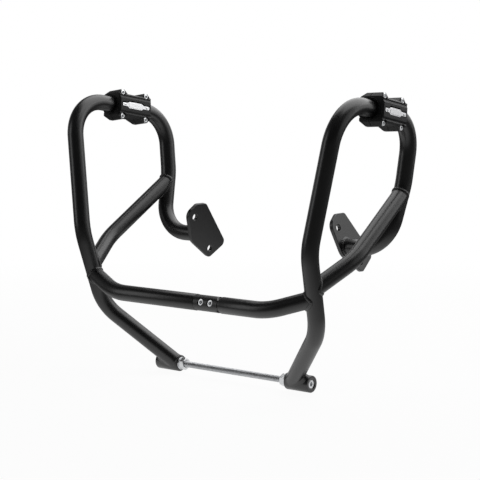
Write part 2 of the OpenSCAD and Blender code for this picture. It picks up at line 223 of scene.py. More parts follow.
# Rolled thread with the same plate, handled and duller: the flanks break the shine up.
rodLook = {
    "colours": ("#aeb0b2", "#c8c9cb"),
    "edges": (0.3, 0.7),
    "roughness": (0.45, 0.58),
    "cloud": {"width": 5.0, "detail": 4.0},
    "stretch": 1.0,
}

# Stamped aluminium, lacquered: pale silver with short streaks left by brushing.
badgeLook = {
    "colours": ("#d2d3d5", "#ececed"),
    "edges": (0.3, 0.7),
    "roughness": (0.30, 0.42),
    "cloud": {"width": 1.2, "detail": 4.0},
    "stretch": 8.0,
}


def platedMetal(name, look):
    material, tree = newMaterial(name)
    streaks = addNode(tree, "ShaderNodeMapping", {"Scale": (1.0, 1 / look["stretch"], 1.0)},
                      {"Vector": ownPlace(tree)})
    cloud = noise(tree, streaks.outputs["Vector"], look["cloud"])
    links = {
        "Base Color": twoTones(tree, cloud, look),
        "Roughness": ranged(tree, cloud, (0, 1, *look["roughness"])),
    }
    finishMaterial(tree, {"Metallic": 1.0}, links)
    return material


zincSteel = platedMetal("brightZincSteel", zincLook)
rodSteel = platedMetal("zincRolledThread", rodLook)
badgeMetal = platedMetal("brushedAluminiumPlate", badgeLook)
print("materials ready")

# The two sides of the bike, and whether a piece drawn for the left is mirrored there
bothSides = (("left", False), ("right", True))


# Shapes
def makePiece(name, part, material, nodes, place=None, mirror=False, sharp=35, weighted=False):
    place = place or Matrix.Identity(4)
    if mirror:
        place = Matrix.Diagonal((-1, 1, 1, 1)) @ place
    mesh = bpy.data.meshes.new(name)
    mesh.from_pydata([(place @ Vector(v)) * mm for v in part[0]], [], part[1])
    work = bmesh.new()
    work.from_mesh(mesh)
    bmesh.ops.remove_doubles(work, verts=work.verts, dist=1e-7)
    bmesh.ops.recalc_face_normals(work, faces=work.faces)
    work.to_mesh(mesh)
    work.free()
    mesh.polygons.foreach_set("use_smooth", [True] * len(mesh.polygons))
    mesh.set_sharp_from_angle(angle=math.radians(sharp))
    mesh.materials.append(material)
    piece = bpy.data.objects.new(name, mesh)
    bpy.context.scene.collection.objects.link(piece)
    if weighted:
        even = piece.modifiers.new("even normals", "WEIGHTED_NORMAL")
        even.keep_sharp = True
    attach(piece, "root")
    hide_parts(*nodes)
    return piece


def ringFaces(count, around, closed=False):
    faces = []
    for i in range(count if closed else count - 1):
        j = (i + 1) % count
        for k in range(around):
            m = (k + 1) % around
            faces.append([i * around + k, i * around + m, j * around + m, j * around + k])
    return faces


def ringStack(rings, around=48, closeStart=False, closeEnd=False):
    verts = []
    for z, radius in rings:
        for k in range(around):
            a = 2 * math.pi * k / around
            r = radius(a) if callable(radius) else radius
            verts.append(Vector((r * math.cos(a), r * math.sin(a), z)))
    faces = ringFaces(len(rings), around)
    if closeStart:
        faces.append(list(range(around))[::-1])
    if closeEnd:
        faces.append([(len(rings) - 1) * around + k for k in range(around)])
    return verts, faces


def hexRadius(flats):
    return lambda a: flats / 2 / math.cos((a + math.pi / 6) % (math.pi / 3) - math.pi / 6)


def joinParts(parts):
    verts = []
    faces = []
    for partVerts, partFaces in parts:
        start = len(verts)
        verts += [Vector(v) for v in partVerts]
        faces += [[start + i for i in face] for face in partFaces]
    return verts, faces


def moved(part, place):
    return [place @ Vector(v) for v in part[0]], part[1]


def shifted(*offset):
    return Matrix.Translation(offset)


# Turns local +Z to the row's +X, for what sits on the engine rod
alongX = Matrix(((0, 0, 1, 0), (1, 0, 0, 0), (0, 1, 0, 0), (0, 0, 0, 1)))

# Routes of the tubes
tubeWork = {
    "mainRadius": 12.7,
    "bossRadius": 13.0,
    "bossSpan": (90, 170),
    "copeDepth": 0.4,
    "braceRadius": 12.5,
    "around": 64,
    "bendStep": 3.0,
    "hoop": [(117, 0, 0), (213, -69, 94), (223, -104, 213), (260, -86, 425),
             (247, 119, 392.5), (236, 115, 297), (224, 88, 199), (149, 89, 199)],
    "hoopBends": [75, 100, 58, 57, 100, 55],
    "braceStart": 0.54,
    "braceCorner": (243, -24, 196),
    "braceEnd": 0.14,
    "braceBend": 90,
    "crossStart": 0.43,
    "crossCorner": (151, -107, 124),
    "crossBend": 100,
    "leftCrossEnd": 69,
    "rightCrossEnd": -20,
    "mouth": {"wall": 2.0, "rounding": [(0.5, 0.0), (0.15, 0.15), (0.0, 0.5)], "depth": 6},
    "copeSearch": {"reach": 60.0, "halvings": 24},
}


def along(a, b, t):
    return Vector(a) + (Vector(b) - Vector(a)) * t


def roundedRoute(corners, bends, step):
    corners = [Vector(c) for c in corners]
    points = [corners[0]]
    for i, radius in enumerate(bends):
        corner = corners[i + 1]
        before = (corners[i] - corner).normalized()
        after = (corners[i + 2] - corner).normalized()
        turn = math.pi - before.angle(after)
        start = corner + before * radius * math.tan(turn / 2)
        centre = corner + (before + after).normalized() * radius / math.cos(turn / 2)
        axis = (-before).cross(after).normalized()
        count = max(4, math.ceil(math.degrees(turn) / step))
        for k in range(count + 1):
            points.append(centre + Matrix.Rotation(turn * k / count, 3, axis) @ (start - centre))
    points.append(corners[-1])
    return points


def sweep(points, radius, around, mouth=None):
    tangents = []
    for i in range(len(points)):
        a = points[max(i - 1, 0)]
        b = points[min(i + 1, len(points) - 1)]
        before = (points[i] - a).normalized() if i else (b - points[i]).normalized()
        after = (b - points[i]).normalized() if i < len(points) - 1 else before
        tangents.append((before + after).normalized())
    side = tangents[0].orthogonal().normalized()
    rings = []
    for point, tangent in zip(points, tangents):
        side = (side - tangent * side.dot(tangent)).normalized()
        rings.append((point, tangent, side.copy(), radius))
    if mouth:
        point, tangent, side, r = rings.pop()
        wall = mouth["wall"]
        for back, shrink in mouth["rounding"] + [(0.0, wall), (mouth["depth"], wall)]:
            rings.append((point - tangent * back, tangent, side, r - shrink))
    verts = []
    for point, tangent, side, r in rings:
        other = tangent.cross(side)
        for k in range(around):
            a = 2 * math.pi * k / around
            verts.append(point + (side * math.cos(a) + other * math.sin(a)) * r)
    return verts, ringFaces(len(rings), around)


def distanceToRoute(point, route):
    best = None
    for a, b in zip(route, route[1:]):
        leg = b - a
        t = max(0.0, min(1.0, (point - a).dot(leg) / leg.length_squared))
        near = a + leg * t
        gap = (point - near).length
        if best is None or gap < best[0]:
            best = (gap, near)
    return best


# How far a point inside a tube must go before it comes out through the tube's skin
def wayOut(point, direction, route, radius):
    search = tubeWork["copeSearch"]
    low, high = 0.0, search["reach"]
    for _ in range(search["halvings"]):
        middle = (low + high) / 2
        if distanceToRoute(point + direction * middle, route)[0] < radius:
            low = middle
        else:
            high = middle
    return high


# Cut an end ring to the shape of the tube it is welded to
def coped(part, ring, direction, route, radius):
    verts, faces = part
    direction = direction.normalized()
    for i in ring:
        verts[i] = verts[i] + direction * wayOut(verts[i], direction, route, radius)
    return verts, faces


hoop = [Vector(p) for p in tubeWork["hoop"]]
mainRadius, braceRadius, bossRadius = (tubeWork[k] for k in ("mainRadius", "braceRadius", "bossRadius"))
step = tubeWork["bendStep"]
hoopRoute = roundedRoute(hoop, tubeWork["hoopBends"], step)
braceFrom = along(hoop[1], hoop[2], tubeWork["braceStart"])
braceTo = along(hoop[5], hoop[6], tubeWork["braceEnd"])
braceCorner = Vector(tubeWork["braceCorner"])
braceRoute = roundedRoute([braceFrom, braceCorner, braceTo], [tubeWork["braceBend"]], step)
crossFrom = along(hoop[1], hoop[2], tubeWork["crossStart"])
crossCorner = Vector(tubeWork["crossCorner"])


def crossRoute(last):
    finish = Vector((last, crossCorner.y, crossCorner.z))
    return roundedRoute([crossFrom, crossCorner, finish], [tubeWork["crossBend"]], step)


around = tubeWork["around"]
firstRing = range(around)
bossRoute = [Vector((x, 0, 0)) for x in tubeWork["bossSpan"]]
mainSkin = mainRadius - tubeWork["copeDepth"]
bossSkin = bossRadius - tubeWork["copeDepth"]
hoopShape = sweep(hoopRoute, mainRadius, around)
hoopShape = coped(hoopShape, firstRing, hoop[1] - hoop[0], bossRoute, bossSkin)
braceShape = sweep(braceRoute, braceRadius, around)
lastRing = range(len(braceShape[0]) - around, len(braceShape[0]))
braceShape = coped(braceShape, firstRing, braceCorner - braceFrom, hoopRoute, mainSkin)
braceShape = coped(braceShape, lastRing, braceCorner - braceTo, hoopRoute, mainSkin)
for sideName, mirrored in bothSides:
    makePiece(sideName + "Hoop", hoopShape, tubeCoat, [sideName + "_main_tube"],
              mirror=mirrored)
    makePiece(sideName + "Brace", braceShape, tubeCoat, [sideName + "_brace_tube"],
              mirror=mirrored)
    crossShape = sweep(crossRoute(tubeWork[sideName + "CrossEnd"]), braceRadius, around, tubeWork["mouth"])
    crossShape = coped(crossShape, firstRing, crossCorner - crossFrom, hoopRoute, mainSkin)
    makePiece(sideName + "CrossTube", crossShape, tubeCoat, [sideName + "_cross_tube"],
              mirror=mirrored)
print("tubes swept")

# Welds: a rippled bead along each seam
weldWork = {
    "seamPoints": 72,
    "size": 2.5,
    "plateSize": 3.0,
    "ripple": 3.0,
    "rippleDepth": 0.2,
    "rippleLevel": 0.6,
    "proud": 0.2,
    "flat": 0.7,
    "broad": 1.2,
    "samplesPerRipple": 5,
    "around": 12,
}


def tubeEdge(start, towards, radius, count):
    direction = (towards - start).normalized()
    side = direction.orthogonal().normalized()
    other = direction.cross(side)
    edge = []
    for k in range(count):
        a = 2 * math.pi * k / count
        outward = side * math.cos(a) + other * math.sin(a)
        edge.append((start + outward * radius, outward))
    return direction, edge


# A seam's points each hold their place, the way out of the branch and the way out of what carries it
def saddleSeam(start, towards, branchRadius, mainRoute, skinRadius):
    direction, edge = tubeEdge(start, towards, branchRadius, weldWork["seamPoints"])
    seam = []
    for point, outward in edge:
        point = point + direction * wayOut(point, direction, mainRoute, skinRadius)
        near = distanceToRoute(point, mainRoute)[1]
        seam.append((point, outward, (point - near).normalized()))
    return seam


def planeSeam(start, towards, tubeRadius, planePoint, planeNormal):
    direction, edge = tubeEdge(start, towards, tubeRadius, weldWork["seamPoints"])
    seam = []
    for point, outward in edge:
        t = (planePoint - point).dot(planeNormal) / direction.dot(planeNormal)
        seam.append((point + direction * t, outward, planeNormal))
    return seam


def weldBead(seam, work):
    count = len(seam)
    lengths = [0.0]
    for k in range(count):
        lengths.append(lengths[-1] + (seam[(k + 1) % count][0] - seam[k][0]).length)
    ripples = max(8, round(lengths[-1] / work["ripple"]))
    total = ripples * work["samplesPerRipple"]
    verts = []
    at = 0
    for j in range(total):
        want = lengths[-1] * j / total
        while lengths[at + 1] < want:
            at += 1
        t = (want - lengths[at]) / (lengths[at + 1] - lengths[at])
        here, following = seam[at], seam[(at + 1) % count]
        point = here[0].lerp(following[0], t)
        first = here[1].lerp(following[1], t).normalized()
        second = here[2].lerp(following[2], t).normalized()
        tangent = (following[0] - here[0]).normalized()
        out = first + second
        out = (out - tangent * out.dot(tangent)).normalized()
        across = tangent.cross(out)
        phase = (j % work["samplesPerRipple"]) / work["samplesPerRipple"]
        size = work["size"] * (1 + work["rippleDepth"] * (math.sqrt(phase) - work["rippleLevel"]))
        centre = point + out * work["proud"]
        for k in range(work["around"]):
            a = 2 * math.pi * k / work["around"]
            ring = out * math.cos(a) * work["flat"] + across * math.sin(a) * work["broad"]
            verts.append(centre + ring * size)
    return verts, ringFaces(total, work["around"], closed=True)


# The weld at the boss is dressed to a smooth hollow, wider on the outer side
filletWork = {"onTube": 4.5, "onBoss": 3.5, "outerExtra": 4.5, "tubeShare": 0.3, "steps": 8, "sunk": 0.5}


def weldFillet(seam, direction, work):
    direction = direction.normalized()
    verts = []
    for point, outward, away in seam:
        wide = work["outerExtra"] * max(0.0, outward.x)
        across = (outward - away * outward.dot(away)).normalized()
        low = point + across * (work["onBoss"] + wide)
        ring = math.hypot(low.y, low.z)
        low = Vector((low.x, low.y * bossRadius / ring, low.z * bossRadius / ring))
        high = point + direction * (work["onTube"] + wide * work["tubeShare"])
        for k in range(work["steps"] + 1):
            t = k / work["steps"]
            verts.append(high * (1 - t) ** 2 + point * 2 * t * (1 - t) + low * t ** 2)
        verts.append(low - away * work["sunk"])
        verts.append(high - outward * work["sunk"])
    return verts, ringFaces(len(seam), work["steps"] + 3, closed=True)


# The rear plate's frame: X runs back, Y up the plate, Z outward from the bike
plateWork = {
    "middle": (149, 89, 199),
    "lean": 11.0,
    "toe": 2.5,
    "thickness": 6.0,
    "corners": [(-14, 52), (8, 52), (70, -20), (33, -44), (-15, -12), (-34, 37)],
    "cornerRadii": [10, 9, 9, 10, 25, 14],
    "holes": [(-15, 30), (32, -27)],
    "holeRadius": 5.25,
    "edge": 0.9,
}
plateTurn = (Matrix.Rotation(math.radians(plateWork["toe"]), 3, "Z")
             @ Matrix.Rotation(-math.radians(plateWork["lean"]), 3, "Y"))
plateBack, plateUp, plateOut = (plateTurn @ Vector(v) for v in ((0, 1, 0), (0, 0, 1), (1, 0, 0)))
plateMiddle = Vector(plateWork["middle"])
platePlace = shifted(*plateMiddle) @ Matrix((plateBack, plateUp, plateOut)).transposed().to_4x4()
plateHalf = plateWork["thickness"] / 2

saddles = [
    saddleSeam(braceFrom, braceCorner, braceRadius, hoopRoute, mainRadius),
    saddleSeam(braceTo, braceCorner, braceRadius, hoopRoute, mainRadius),
    saddleSeam(crossFrom, crossCorner, braceRadius, hoopRoute, mainRadius),
]
plateSeam = planeSeam(hoop[7], hoop[6], mainRadius, plateMiddle + plateOut * plateHalf, plateOut)
bossSeam = saddleSeam(hoop[0], hoop[1], mainRadius, bossRoute, bossRadius)
beads = joinParts([weldBead(seam, weldWork) for seam in saddles] + [
    weldBead(plateSeam, {**weldWork, "size": weldWork["plateSize"]}),
    weldFillet(bossSeam, hoop[1] - hoop[0], filletWork),
])
for sideName, mirrored in bothSides:
    makePiece(sideName + "WeldBeads", beads, weldCoat, [sideName + "_weld_beads"],
              mirror=mirrored, sharp=80)
print("welds laid")


# Flat pieces, cut from an outline with softened edges
def arcCorners(corners, radii, steps=10):
    outline = []
    for i, corner in enumerate(corners):
        corner = Vector(corner)
        before = (Vector(corners[i - 1]) - corner).normalized()
        after = (Vector(corners[(i + 1) % len(corners)]) - corner).normalized()
        half = before.angle(after) / 2
        centre = corner + (before + after).normalized() * radii[i] / math.sin(half)
        start = corner + before * radii[i] / math.tan(half) - centre
        finish = corner + after * radii[i] / math.tan(half) - centre
        turn = math.atan2(start.x * finish.y - start.y * finish.x, start.dot(finish))
        for k in range(steps + 1):
            c, s = math.cos(turn * k / steps), math.sin(turn * k / steps)
            outline.append((centre.x + start.x * c - start.y * s, centre.y + start.x * s + start.y * c))
    return outline


def circleLoop(x, y, radius, count=40):
    return [(x + radius * math.cos(2 * math.pi * k / count), y + radius * math.sin(2 * math.pi * k / count))
            for k in range(count)]


def cutSheet(loops, low, high, edge, softness=2):
    curve = bpy.data.curves.new("outline", "CURVE")
    curve.dimensions = "2D"
    curve.fill_mode = "BOTH"
    curve.extrude = (high - low) / 2 - edge
    curve.bevel_depth = edge
    curve.bevel_resolution = softness
    curve.offset = -edge
    for loop in loops:
        spline = curve.splines.new("POLY")
        spline.points.add(len(loop) - 1)
        for point, (x, y) in zip(spline.points, loop):
            point.co = (x, y, 0, 1)
        spline.use_cyclic_u = True
    holder = bpy.data.objects.new("outline", curve)
    bpy.context.scene.collection.objects.link(holder)
    verts, faces = settle(holder, [])
    bpy.data.curves.remove(curve)
    lift = Vector((0, 0, (low + high) / 2))
    return [v + lift for v in verts], faces


# The shape that an object has with its modifiers, with the object and its helpers cleared away
def settle(blank, others):
    bpy.context.view_layer.update()
    mesh = bpy.data.meshes.new_from_object(blank.evaluated_get(bpy.context.evaluated_depsgraph_get()))
    part = [v.co.copy() for v in mesh.vertices], [list(p.vertices) for p in mesh.polygons]
    bpy.data.meshes.remove(mesh)
    for item in [blank] + others:
        used = item.data
        bpy.data.objects.remove(item)
        if isinstance(used, bpy.types.Mesh):
            bpy.data.meshes.remove(used)
    return part


plateLoops = [arcCorners(plateWork["corners"], plateWork["cornerRadii"])]
plateLoops += [circleLoop(x, y, plateWork["holeRadius"]) for x, y in plateWork["holes"]]
plateShape = cutSheet(plateLoops, -plateHalf, plateHalf, plateWork["edge"])
for sideName, mirrored in bothSides:
    makePiece(sideName + "RearPlate", plateShape, tubeCoat, [sideName + "_rear_plate"],
              place=platePlace, mirror=mirrored, weighted=True)
print("rear plates cut")

# Lower bosses and everything on the engine rod
rodWork = {
    "bossInner": 108.5,
    "bossOuter": 152.5,
    "bossBore": 6.6,
    "boreFloor": 13.5,
    "clearRadius": 5.25,
    "rodRadius": 5.0,
    "rodHalfLength": 137.0,
    "rodTip": 0.7,
    "threadPitch": 1.5,
    "threadDepth": 0.75,
    "threadShown": 112.0,
    "flankSlope": 1.25,
    "crestWidth": 0.1,
    "ringsPerTurn": 6,
    "nutBore": 5.05,
    "nutFlats": 17.0,
    "nutHeight": 9.5,
    "washerRadius": 10.0,
    "washerThickness": 2.0,
    "barrelRadius": 6.5,
    "barrelRecess": 1.0,
    "socketFlats": 6.0,
    "socketMouth": 6.9,
    "socketDepth": 6,
}
inner, outer = rodWork["bossInner"], rodWork["bossOuter"]
boreFloor = inner + rodWork["boreFloor"]
bossBore, clear = rodWork["bossBore"], rodWork["clearRadius"]
bossRings = [
    (inner, clear + 0.45), (inner, bossRadius - 1.0), (inner + 0.3, bossRadius - 0.3),
    (inner + 1.0, bossRadius), (outer - 1.2, bossRadius), (outer - 0.35, bossRadius - 0.35),
    (outer, bossRadius - 1.2),
    (outer, bossBore + 1.6), (outer - 0.4, bossBore + 0.9), (outer - 1.6, bossBore), (boreFloor, bossBore),
    (boreFloor, clear), (inner + 0.5, clear), (inner, clear + 0.45),
]
bossShape = ringStack(bossRings, 64)


def threadedRadius(z, work):
    def radius(a):
        phase = (z / work["threadPitch"] - a / (2 * math.pi)) % 1.0
        depth = abs(phase * 2 - 1) * work["flankSlope"] - work["crestWidth"]
        return work["rodRadius"] - work["threadDepth"] * max(0.0, min(1.0, depth))
    return radius


rodRadius, rodEnd, tip = rodWork["rodRadius"], rodWork["rodHalfLength"], rodWork["rodTip"]
shown = rodWork["threadShown"]
turns = int(2 * shown / rodWork["threadPitch"] * rodWork["ringsPerTurn"])
rodRings = [(-rodEnd, rodRadius - tip), (-rodEnd + tip, rodRadius), (-shown, rodRadius)]
for k in range(turns + 1):
    z = -shown + 2 * shown * k / turns
    rodRings.append((z, threadedRadius(z, rodWork)))
rodRings += [(shown, rodRadius), (rodEnd - tip, rodRadius), (rodEnd, rodRadius - tip)]
rodShape = ringStack(rodRings, 24, closeStart=True, closeEnd=True)
makePiece("engineRod", rodShape, rodSteel, ["threaded_rod"], place=alongX, sharp=60)


# A hexagon whose corners are turned down to a share of its width across the flats
def turnedHex(flats, share):
    hexagon = hexRadius(flats)
    return lambda a: min(hexagon(a), flats / 2 * share)


nutFlats, nutBore = rodWork["nutFlats"], rodWork["nutBore"]
lowHex, midHex, fullHex = turnedHex(nutFlats, 0.98), turnedHex(nutFlats, 1.07), hexRadius(nutFlats)
nutSeat = inner - rodWork["washerThickness"]
nutStart = nutSeat - rodWork["nutHeight"]
nutRings = [
    (nutStart, nutBore + 0.85), (nutStart, lowHex), (nutStart + 0.45, midHex), (nutStart + 1.0, fullHex),
    (nutSeat - 1.0, fullHex), (nutSeat - 0.45, midHex), (nutSeat, lowHex), (nutSeat, nutBore),
    (nutStart + 0.9, nutBore), (nutStart, nutBore + 0.85),
]
nutShape = ringStack(nutRings, 96)
washerRadius = rodWork["washerRadius"]
washerRings = [
    (nutSeat, clear), (nutSeat, washerRadius - 0.3), (nutSeat + 0.3, washerRadius),
    (inner - 0.3, washerRadius), (inner, washerRadius - 0.3), (inner, clear), (nutSeat, clear),
]
washerShape = ringStack(washerRings, 64)
socket = hexRadius(rodWork["socketFlats"])
socketMouth = hexRadius(rodWork["socketMouth"])
barrelEnd = outer - rodWork["barrelRecess"]
barrelRadius, socketFloor = rodWork["barrelRadius"], barrelEnd - rodWork["socketDepth"]
barrelRings = [
    (boreFloor, nutBore), (boreFloor, barrelRadius - 0.4), (boreFloor + 0.4, barrelRadius),
    (barrelEnd - 0.5, barrelRadius), (barrelEnd - 0.1, barrelRadius - 0.15), (barrelEnd, barrelRadius - 0.4),
    (barrelEnd, socketMouth), (barrelEnd - 0.4, socket), (socketFloor, socket), (socketFloor - 0.6, 1.0),
]
barrelShape = joinParts([
    ringStack(barrelRings, 96, closeEnd=True),
    ringStack([(boreFloor, nutBore), (rodEnd + 1, nutBore)], 48, closeEnd=True),
])
for sideName, mirrored in bothSides:
    makePiece(sideName + "LowerBoss", bossShape, tubeCoat, [sideName + "_lower_boss"],
              place=alongX, mirror=mirrored)
    makePiece(sideName + "HexNut", nutShape, zincSteel, [sideName + "_hex_nut"],
              place=alongX, mirror=mirrored, sharp=25)
    makePiece(sideName + "Washer", washerShape, zincSteel, [sideName + "_washer"],
              place=alongX, mirror=mirrored)
    makePiece(sideName + "BarrelNut", barrelShape, zincSteel, [sideName + "_barrel_nut"],
              place=alongX, mirror=mirrored, sharp=30)
print("engine rod fitted")


# A screw with a hex socket, seat at Z 0 and head upwards
def capScrew(work):
    socketWall = hexRadius(work["key"])
    socketLip = hexRadius(work["key"] * 1.12)
    top, head, shank, length = work["headHeight"], work["headRadius"], work["shankRadius"], work["length"]
    socketBottom = top - work["keyDepth"]
    return ringStack([
        (-length, shank - 0.4), (-length + 0.4, shank), (0, shank), (0, head - 0.2), (0.2, head),
        (top - 0.5, head), (top - 0.15, head - 0.2), (top, head - 0.6), (top, socketLip),
        (top - 0.3, socketWall), (socketBottom, socketWall), (socketBottom - 0.3, 0.4),
    ], 48, closeStart=True, closeEnd=True)


# The bolted joint of the cross tube
jointWork = {
    "bolts": (34.5, 52.5),
    "seat": 6.0,
    "roll": 14.0,
    "bolt": {"headRadius": 5.2, "headHeight": 5.0, "key": 5.0, "keyDepth": 4.2,
             "shankRadius": 3.0, "length": 16},
}
towardsFront = Matrix(((1, 0, 0, 0), (0, 0, -1, 0), (0, 1, 0, 0), (0, 0, 0, 1)))
jointPlace = (shifted(0, crossCorner.y, crossCorner.z)
              @ Matrix.Rotation(-math.radians(jointWork["roll"]), 4, "X") @ towardsFront)
bolts = joinParts([
    moved(capScrew(jointWork["bolt"]), jointPlace @ shifted(x, 0, jointWork["seat"]))
    for x in jointWork["bolts"]
])
makePiece("jointBolts", bolts, zincSteel, ["joint_bolts"], sharp=30)

# The solid lugs of the joint keep their own shape
for node in ("joint_front_lug", "joint_rear_lug"):
    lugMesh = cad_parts[node].data
    lugMesh.materials.clear()
    lugMesh.materials.append(lugCoat)
print("joint bolted")

# Crash sliders
sliderWork = {
    "at": 118.5,
    "leftRoll": 3.0,
    "rightRoll": 7.0,
    "length": 72.0,
    "barHole": 15.5,
    "holeFlare": 0.4,
    "holeFlareDepth": 0.6,
    "split": 0.4,
    "frontSection": [(0.4, 18.5), (13, 18.5), (17.5, 18.0), (19.7, 17.3), (21.4, 15.6), (21.6, 15.0),
                     (21.5, 14.5), (20.7, 13.4), (20.8, 12.9), (22.2, 10.2), (22.5, 9.6),
                     (22.5, -10.6), (22.2, -11.2), (20.7, -13.6), (20.8, -14.1), (21.5, -15.4),
                     (21.6, -15.9), (21.2, -16.5), (19.8, -17.6), (17.5, -18.2), (13, -18.5), (0.4, -18.5)],
    "backSection": [(-0.4, 18.5), (-8, 18.5), (-15, 13.5), (-17.5, 8.5)],
    "endBevelFrom": 19,
    "endBevelWay": (3, 4),
    "frontLug": (0.4, 17.5),
    "backLug": (-16.5, -0.4),
    "lugFoot": 12.5,
    "lugShoulder": 17.5,
    "lugTop": 24.3,
    "lugInner": 12,
    "lugFlat": 3.6,
    "lugOuterTop": 18,
    "lugRadii": [0.5, 2.0, 2.2, 2.2, 1.5, 0.5],
    "lugBevel": 33.3,
    "screwAcross": 26.0,
    "screwUp": 19.5,
    "screwSeat": 13.6,
    "screwHole": 2.6,
    "headHole": 5.3,
    "holeSpan": (-9, 30),
    "screw": {"headRadius": 4.3, "headHeight": 5.0, "key": 4.0, "keyDepth": 2.6,
              "shankRadius": 2.5, "length": 23},
    "lipHeight": 0.9,
    "lipWidth": 1.4,
    "lipRoot": 2,
    "lipRounding": 0.3,
    "softEdge": 0.25,
    "softAngle": 32,
}


# The slider's frame on the bar: X out of the nameplate's face, Y back along the bar, Z up
def sliderPlace(side, work):
    a, b = (Vector((side * p.x, p.y, p.z)) for p in (hoop[3], hoop[4]))
    back = (b - a).normalized()
    face = (Vector((1, 0, 0)) - back * back.x).normalized()
    up = face.cross(back)
    roll = math.radians(work["leftRoll"] if side > 0 else work["rightRoll"])
    straight = Matrix((face, back, up)).transposed().to_4x4()
    return shifted(*(a + back * work["at"])) @ straight @ Matrix.Rotation(-roll, 4, "Y")


# Turn a piece drawn along local Z so that it lies along the bar, or points out of the nameplate's face
lengthwise = Matrix(((1, 0, 0, 0), (0, 0, -1, 0), (0, 1, 0, 0), (0, 0, 0, 1)))
crosswise = Matrix(((0, 0, 1, 0), (1, 0, 0, 0), (0, 1, 0, 0), (0, 0, 0, 1)))


def prism(outline, low, high):
    count = len(outline)
    verts = [Vector((x, y, z)) for z in (low, high) for x, y in outline]
    return verts, ringFaces(2, count) + [list(range(count))[::-1], list(range(count, 2 * count))]


def workObject(part):
    mesh = bpy.data.meshes.new("work")
    mesh.from_pydata(part[0], [], part[1])
    work = bmesh.new()
    work.from_mesh(mesh)
    bmesh.ops.remove_doubles(work, verts=work.verts, dist=1e-4)
    bmesh.ops.recalc_face_normals(work, faces=work.faces)
    work.to_mesh(mesh)
    work.free()
    item = bpy.data.objects.new("work", mesh)
    bpy.context.scene.collection.objects.link(item)
    return item


def combine(base, tools, operation):
    blank = workObject(base)
    cutters = [workObject(tool) for tool in tools]
    for cutter in cutters:
        change = blank.modifiers.new("combine", "BOOLEAN")
        change.operation = operation
        change.solver = "EXACT"
        change.object = cutter
    return settle(blank, cutters)


def softened(part, width, angle):
    blank = workObject(part)
    ease = blank.modifiers.new("ease", "BEVEL")
    ease.width = width
    ease.segments = 2
    ease.limit_method = "ANGLE"
    ease.angle_limit = math.radians(angle)
    ease.harden_normals = False
    return settle(blank, [])


# Cuts off what lies beyond the point in the direction of the normal, and closes the cut
def planeCut(part, point, normal):
    work = bmesh.new()
    mesh = bpy.data.meshes.new("cut")
    mesh.from_pydata(part[0], [], part[1])
    work.from_mesh(mesh)
    made = bmesh.ops.bisect_plane(work, geom=work.verts[:] + work.edges[:] + work.faces[:], dist=1e-5,
                                  plane_co=point, plane_no=normal, clear_outer=True)
    rim = [e for e in made["geom_cut"] if isinstance(e, bmesh.types.BMEdge)]
    bmesh.ops.edgeloop_fill(work, edges=rim)
    work.verts.index_update()
    verts = [v.co.copy() for v in work.verts]
    faces = [[v.index for v in f.verts] for f in work.faces]
    work.free()
    bpy.data.meshes.remove(mesh)
    return verts, faces


def lugOutline(s, v, work):
    across, flat = work["screwAcross"], work["lugFlat"]
    corners = [
        (across - work["lugInner"], work["lugFoot"]), (across - work["lugInner"], work["lugShoulder"]),
        (across - flat, work["lugTop"]), (across + flat, work["lugTop"]),
        (work["length"] / 2, work["lugOuterTop"]), (work["length"] / 2, work["lugFoot"]),
    ]
    return arcCorners([(s * x, v * y) for x, y in corners], work["lugRadii"], 6)


end = sliderWork["length"] / 2
hole = sliderWork["barHole"]
flare, flareDepth = sliderWork["holeFlare"], sliderWork["holeFlareDepth"]
mouthRadius = hole + flare * (1 + 1 / flareDepth)
lipOut = end + sliderWork["lipHeight"]
barCutRings = [(-lipOut - 1, mouthRadius), (-lipOut + flareDepth, hole), (lipOut - flareDepth, hole),
               (lipOut + 1, mouthRadius)]
barCut = moved(ringStack(barCutRings, 96, closeStart=True, closeEnd=True), lengthwise)

# A raised lip runs round the bar at each end of the slider
lipEdge = hole + sliderWork["lipWidth"]
lipRoot, lipRounding = end - sliderWork["lipRoot"], sliderWork["lipRounding"]
lips = []
for s in (-1, 1):
    lipRings = [(s * lipRoot, hole - 1), (s * lipRoot, lipEdge), (s * (lipOut - lipRounding), lipEdge),
                (s * lipOut, lipEdge - lipRounding), (s * lipOut, hole - 1), (s * lipRoot, hole - 1)]
    lips.append(moved(ringStack(lipRings, 96), lengthwise))
split = sliderWork["split"]
frontLips = [planeCut(lip, Vector((split, 0, 0)), Vector((-1, 0, 0))) for lip in lips]
backLips = [planeCut(lip, Vector((-split, 0, 0)), Vector((1, 0, 0))) for lip in lips]

frontBody = moved(prism(sliderWork["frontSection"], -end, end), lengthwise)
outwards, endwards = sliderWork["endBevelWay"]
for s in (-1, 1):
    bevelFrom = Vector((sliderWork["endBevelFrom"], s * end, 0))
    frontBody = planeCut(frontBody, bevelFrom, Vector((outwards, s * endwards, 0)).normalized())
backSection = sliderWork["backSection"] + [(x, -y) for x, y in sliderWork["backSection"][::-1]]
backBody = moved(prism(backSection, -end, end), lengthwise)

